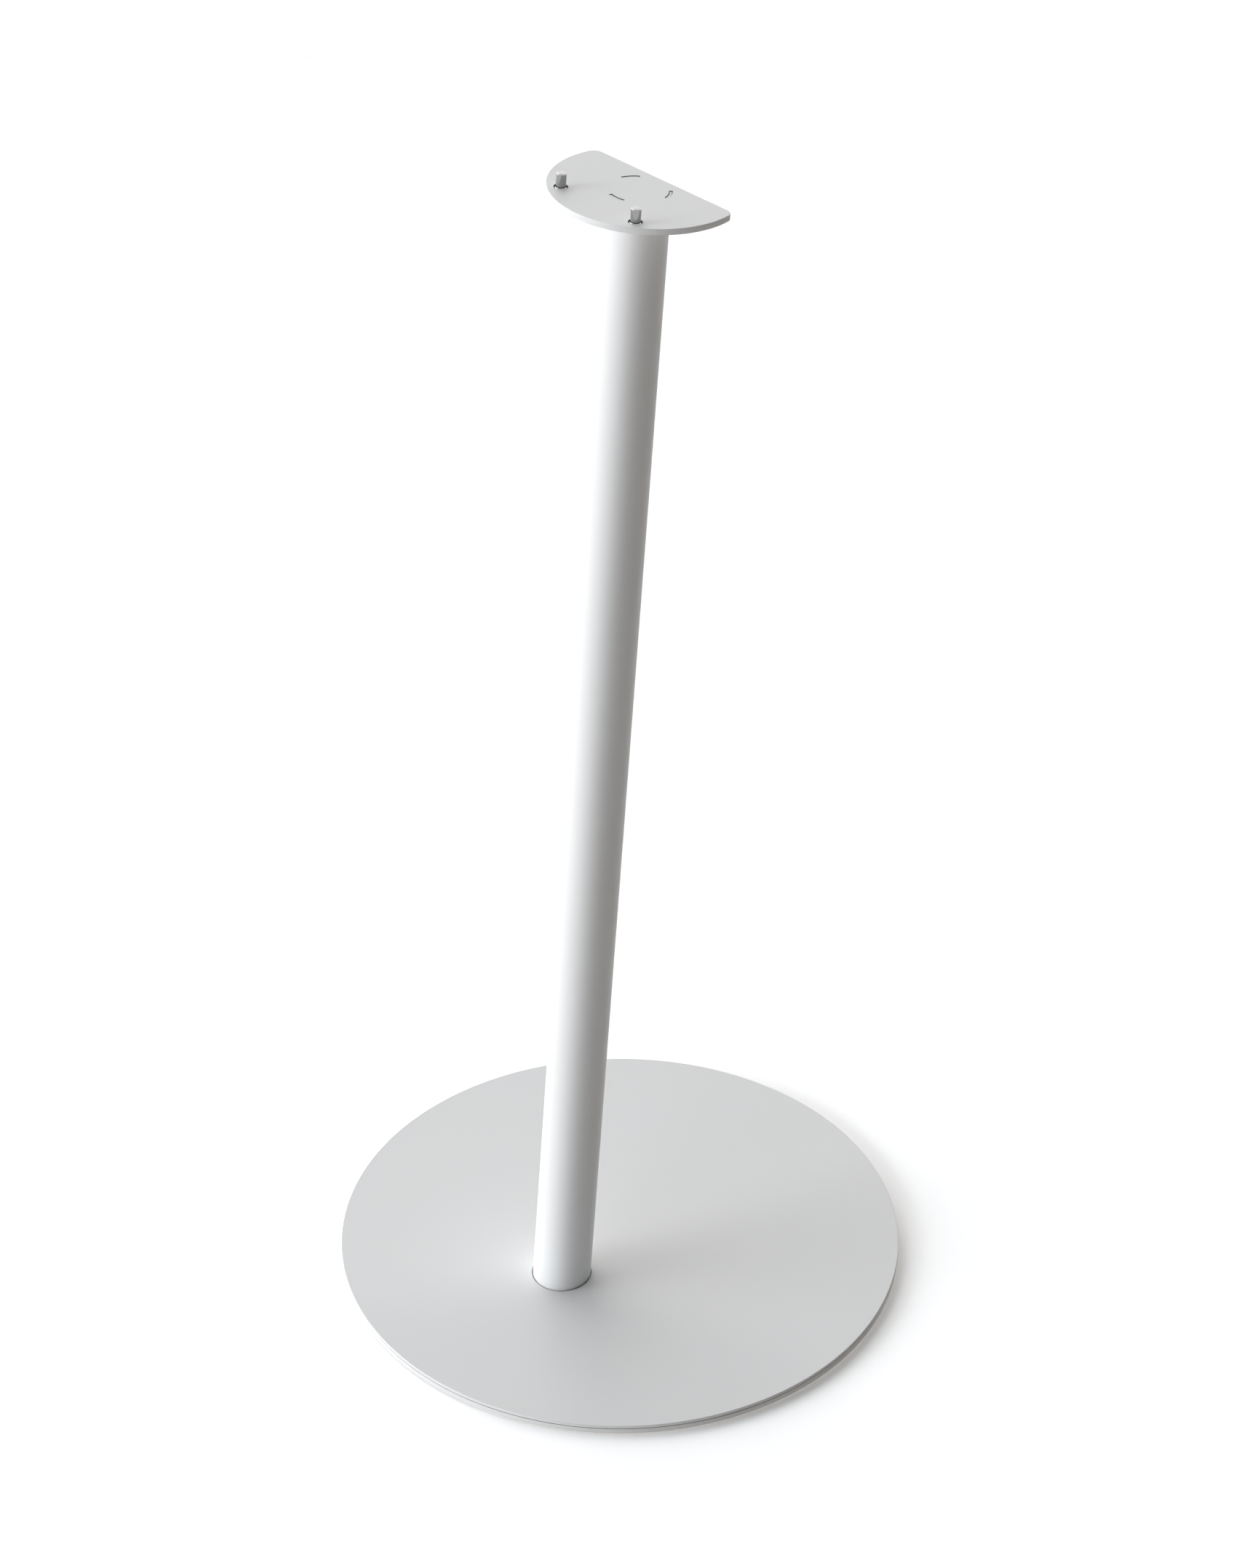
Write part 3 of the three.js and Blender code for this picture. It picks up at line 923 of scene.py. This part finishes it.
def turn_screw(name):
    tip = PLATE_THICKNESS + SCREW_PROTRUSION
    corners = [
        (0, SCREW_HEAD_RECESS),
        (screw_head_radius, SCREW_HEAD_RECESS),
        (screw_head_radius, screw_cone_bottom),
        (SCREW_RADIUS, PLATE_THICKNESS),
        (SCREW_RADIUS, tip - SCREW_TIP_CHAMFER),
        (SCREW_RADIUS - SCREW_TIP_CHAMFER, tip),
        (0, tip),
    ]
    screw = turn(name, corners, SCREW_SIDES, METAL_EDGE_ROUNDING)
    socket_end = SCREW_HEAD_RECESS + SCREW_SOCKET_DEPTH
    finish_cut(screw, hexagon_cutter(SOCKET_WIDTH, -OVERSHOOT, socket_end))
    round_hole_edges(screw, [SCREW_HEAD_RECESS], METAL_EDGE_ROUNDING)
    return screw


first_screw = turn_screw("speaker_screw_left_polished")
second_screw = copy_piece(first_screw, "speaker_screw_right_polished")
for side, screw in (("left", first_screw), ("right", second_screw)):
    settle(screw, screw_place(side))
    dress(screw, f"speaker_screw_{side}", polished_steel)

# %% [markdown]
# ## Dark rings in the screw holes
#
# What is black in the gap round each screw is painted shade: a small ring of dark rubber finish,
# wedged between the cone of the head and the wall of the hole, fills the gap with black. Its section
# is a wedge, whose slanted face lies along the cone. A closed profile turns into a ring by itself,
# and the inner face, at 45 degrees like the cone, comes out right by its corners alone.

# %% Turn the rings of painted shade
RING_RECESS = 0.4 * MM
RING_FOOT_WIDTH = 0.1 * MM
RING_HOLE_CLEARANCE = 0.2 * MM
RING_SCREW_CLEARANCE = 0.15 * MM
RING_EDGE_ROUNDING = 0.03 * MM


def turn_shade_ring(name):
    top = PLATE_THICKNESS - RING_RECESS
    outer = screw_hole_radius - RING_HOLE_CLEARANCE
    inner = SCREW_RADIUS + RING_RECESS + RING_SCREW_CLEARANCE * math.sqrt(2)
    foot = outer - RING_FOOT_WIDTH
    bottom = top - (foot - inner)
    corners = [(foot, bottom), (outer, bottom), (outer, top), (inner, top), (foot, bottom)]
    return turn(name, corners, SCREW_SIDES, RING_EDGE_ROUNDING)


# The rings are black rubber as painted shade in the gaps round the screws.
first_ring = turn_shade_ring("painted_shade_ring_left")
second_ring = copy_piece(first_ring, "painted_shade_ring_right")
for side, ring in (("left", first_ring), ("right", second_ring)):
    settle(ring, screw_place(side))
    dress(ring, f"grip_ring_{side}", rubber)

# %% [markdown]
# ## Bolts and pads under the base
#
# Nobody sees these until the stand is turned over, but they are part of how it works: three
# countersunk bolts hold the column, and eight rubber pads keep the steel off the floor. One of each
# is modelled at the origin and copied to the middle of its node.

# %% Turn the bolts
BOLT_TIP_CHAMFER = 0.8 * MM
BOLT_SOCKET_DEPTH = 2.2 * MM

bolt_low, bolt_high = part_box("column_bolt_1")


def turn_bolt(name):
    corners = bolt_outline(0, bolt_low.z, bolt_low.z, bolt_high.z - BOLT_TIP_CHAMFER)
    corners[-1:] = [(BOLT_RADIUS - BOLT_TIP_CHAMFER, bolt_high.z), (0, bolt_high.z)]
    bolt = turn(name, corners, SMALL_HOLE_SIDES, METAL_EDGE_ROUNDING)
    finish_cut(bolt, hexagon_cutter(SOCKET_WIDTH, 0, bolt_low.z + BOLT_SOCKET_DEPTH))
    round_hole_edges(bolt, [bolt_low.z], METAL_EDGE_ROUNDING)
    return bolt


def at_node(node):
    """Where a copy of a piece that was modelled on the Z axis goes, to stand for a node."""
    middle = node_middle(node)
    return Matrix.Translation((middle.x, middle.y, 0))


bolts = [turn_bolt("column_bolt_1_plated")]
for number in range(2, BOLT_COUNT + 1):
    bolts.append(copy_piece(bolts[0], f"column_bolt_{number}_plated"))
for number, bolt in enumerate(bolts, start=1):
    settle(bolt, at_node(f"column_bolt_{number}"))
    dress(bolt, f"column_bolt_{number}", zinc_steel)

# %% [markdown]
# ### The pads
#
# A pad is a short disc of rubber with a soft lower edge, so the profile's corners are rounded by
# almost a third of its height.

# %% Turn the pads
PAD_COUNT = 8
PAD_EDGE_ROUNDING = 0.25 * MM

pad_low, pad_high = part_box("floor_pad_1")
pad_radius = (pad_high.x - pad_low.x) / 2
pad_corners = [(0, 0), (pad_radius, 0), (pad_radius, pad_high.z), (0, pad_high.z)]
pads = [turn("floor_pad_1_moulded", pad_corners, SMALL_HOLE_SIDES, PAD_EDGE_ROUNDING)]
for number in range(2, PAD_COUNT + 1):
    pads.append(copy_piece(pads[0], f"floor_pad_{number}_moulded"))
for number, pad in enumerate(pads, start=1):
    settle(pad, at_node(f"floor_pad_{number}"))
    dress(pad, f"floor_pad_{number}", rubber)

# %% [markdown]
# ## Nodes that keep their own shape
#
# The plug inside the tube and the bonding film are right as they are, and hardly show. They only
# get their finish, by putting it in their material slots. The other nodes get theirs too, in case
# they are shown by themselves.

# %% Give the nodes their finishes
NODE_FINISHES = {
    "top_plate": powder_coat,
    "column_tube": powder_coat,
    "base_": powder_coat,
    "bond_film": bond_film,
    "foot_plug": bare_steel,
    "column_bolt": zinc_steel,
    "speaker_screw": polished_steel,
    # The grip ring nodes are the dark rings in the screw holes, black as painted shade.
    "grip_ring": rubber,
    "floor_pad": rubber,
}

for name, node in frame["nodes"].items():
    finish = next(made for start, made in NODE_FINISHES.items() if name.startswith(start))
    for material_slot in node.material_slots:
        material_slot.material = finish
print("nodes with a finish:", len(frame["nodes"]))

# %% [markdown]
# ## The floor
#
# The photograph has a pure white ground on which only the shadow of the base can be seen, and the
# light that comes up from that ground is even: the rim of the base, right beside its own shadow, is
# as bright as the upper tube. A white floor would do neither. So the floor is a surface only for
# what the camera and polished metal see, and is lifted to white there. Bounced light passes through
# it to the lower half of the sky, which gives the even glow. From below it is clear, so that the
# underside can be looked at.

# %% Lay the floor
FLOOR_RADIUS = 1.9
FLOOR_SIDES = 96
FLOOR_LIFTED = 1.56


def make_floor_finish():
    floor = new_finish("studio_floor")
    bounced = floor.node("ShaderNodeLightPath", output="Is Diffuse Ray")
    shadow = floor.node("ShaderNodeLightPath", output="Is Shadow Ray")
    below = floor.node("ShaderNodeNewGeometry", output="Backfacing")
    solid = floor.node("ShaderNodeBsdfDiffuse", {}, {"Color": grey(FLOOR_LIFTED)})
    clear = floor.node("ShaderNodeBsdfTransparent")
    is_clear = bounced + shadow + below
    shader = floor.node("ShaderNodeMixShader", {}, {0: is_clear, 1: solid, 2: clear})
    floor.node("ShaderNodeOutputMaterial", {}, {"Surface": shader})
    return floor.owner


bpy.ops.object.select_all(action="DESELECT")
bpy.ops.mesh.primitive_circle_add(vertices=FLOOR_SIDES, radius=FLOOR_RADIUS, fill_type="NGON")
floor = bpy.context.object
floor.name = "studio_floor"
floor.data.materials.append(make_floor_finish())
print("floor radius in m:", FLOOR_RADIUS)

# %% [markdown]
# ## The light
#
# The left of the tube is white, it falls off to a warm grey on the right, and the base shades the
# floor all round but most in front. Two wide low windows to the left of the camera and a little
# skylight over them do the first, and two wider lights behind the stand do the rest. The strengths
# were found by rendering lamps from all round one by one and mixing them until the tones on the
# tube, the base and the floor came close, and a few last steps followed.
#
# A lamp close by would leave the floor uneven. A Sun lamp with a wide angle is as soft as a large
# window and equally strong everywhere.

# %% Set the lamps and the sky
GROUND_LEVEL = 0.39
GROUND_WARMTH = 0.065
LAMP_DISTANCE = 3


def add_soft_sun(name, azimuth, elevation, strength, spread, colour):
    """A wide sun. Azimuth is from the camera's side towards the right of the picture."""
    towards = math.radians(azimuth) + CAMERA_AZIMUTH - math.pi / 2
    up = math.radians(elevation)
    light = bpy.data.lights.new(name, "SUN")
    light.energy = strength
    light.angle = math.radians(spread)
    light.color = colour
    lamp = bpy.data.objects.new(name, light)
    level = Vector((math.cos(towards), math.sin(towards), 0))
    direction = level * math.cos(up) + Vector((0, 0, math.sin(up)))
    lamp.rotation_euler = direction.to_track_quat("Z", "Y").to_euler()
    lamp.location = direction * LAMP_DISTANCE
    bpy.context.scene.collection.objects.link(lamp)


def make_sky():
    sky = Finish(bpy.data.worlds.new("studio_sky"))
    seen = sky.node("ShaderNodeLightPath", output="Is Camera Ray")
    mirrored = sky.node("ShaderNodeLightPath", output="Is Glossy Ray")
    through = sky.node("ShaderNodeLightPath", output="Is Transmission Ray")
    direction = sky.node("ShaderNodeTexCoord", output="Generated")
    height = sky.node("ShaderNodeSeparateXYZ", {}, {0: direction}, output="Z")
    below = sky.node("ShaderNodeMath", {"operation": "LESS_THAN"}, {0: height, 1: 0.0})
    glow = sky.blend(below, grey(0.0), grey(GROUND_LEVEL, GROUND_WARMTH))
    colour = sky.blend(seen + mirrored + through, glow, grey(1.0))
    background = sky.node("ShaderNodeBackground", {}, {"Color": colour})
    sky.node("ShaderNodeOutputWorld", {}, {"Surface": background})
    return sky.owner


daylight = (0.978, 1.0, 1.022)
skylight = (0.95, 1.0, 1.05)
cool_light = (0.99, 0.995, 1.015)
warm_light = (1.01, 1.0, 0.98)
add_soft_sun("left_window", -80, 10, strength=2.3, spread=40, colour=daylight)
add_soft_sun("front_window", -40, 10, strength=0.7, spread=40, colour=skylight)
add_soft_sun("left_skylight", -85, 35, strength=0.3, spread=40, colour=skylight)
add_soft_sun("left_back_light", -140, 30, strength=1.27, spread=70, colour=cool_light)
add_soft_sun("right_back_light", 170, 32, strength=1.45, spread=100, colour=warm_light)
bpy.context.scene.world = make_sky()
bpy.context.scene.view_settings.view_transform = "Standard"
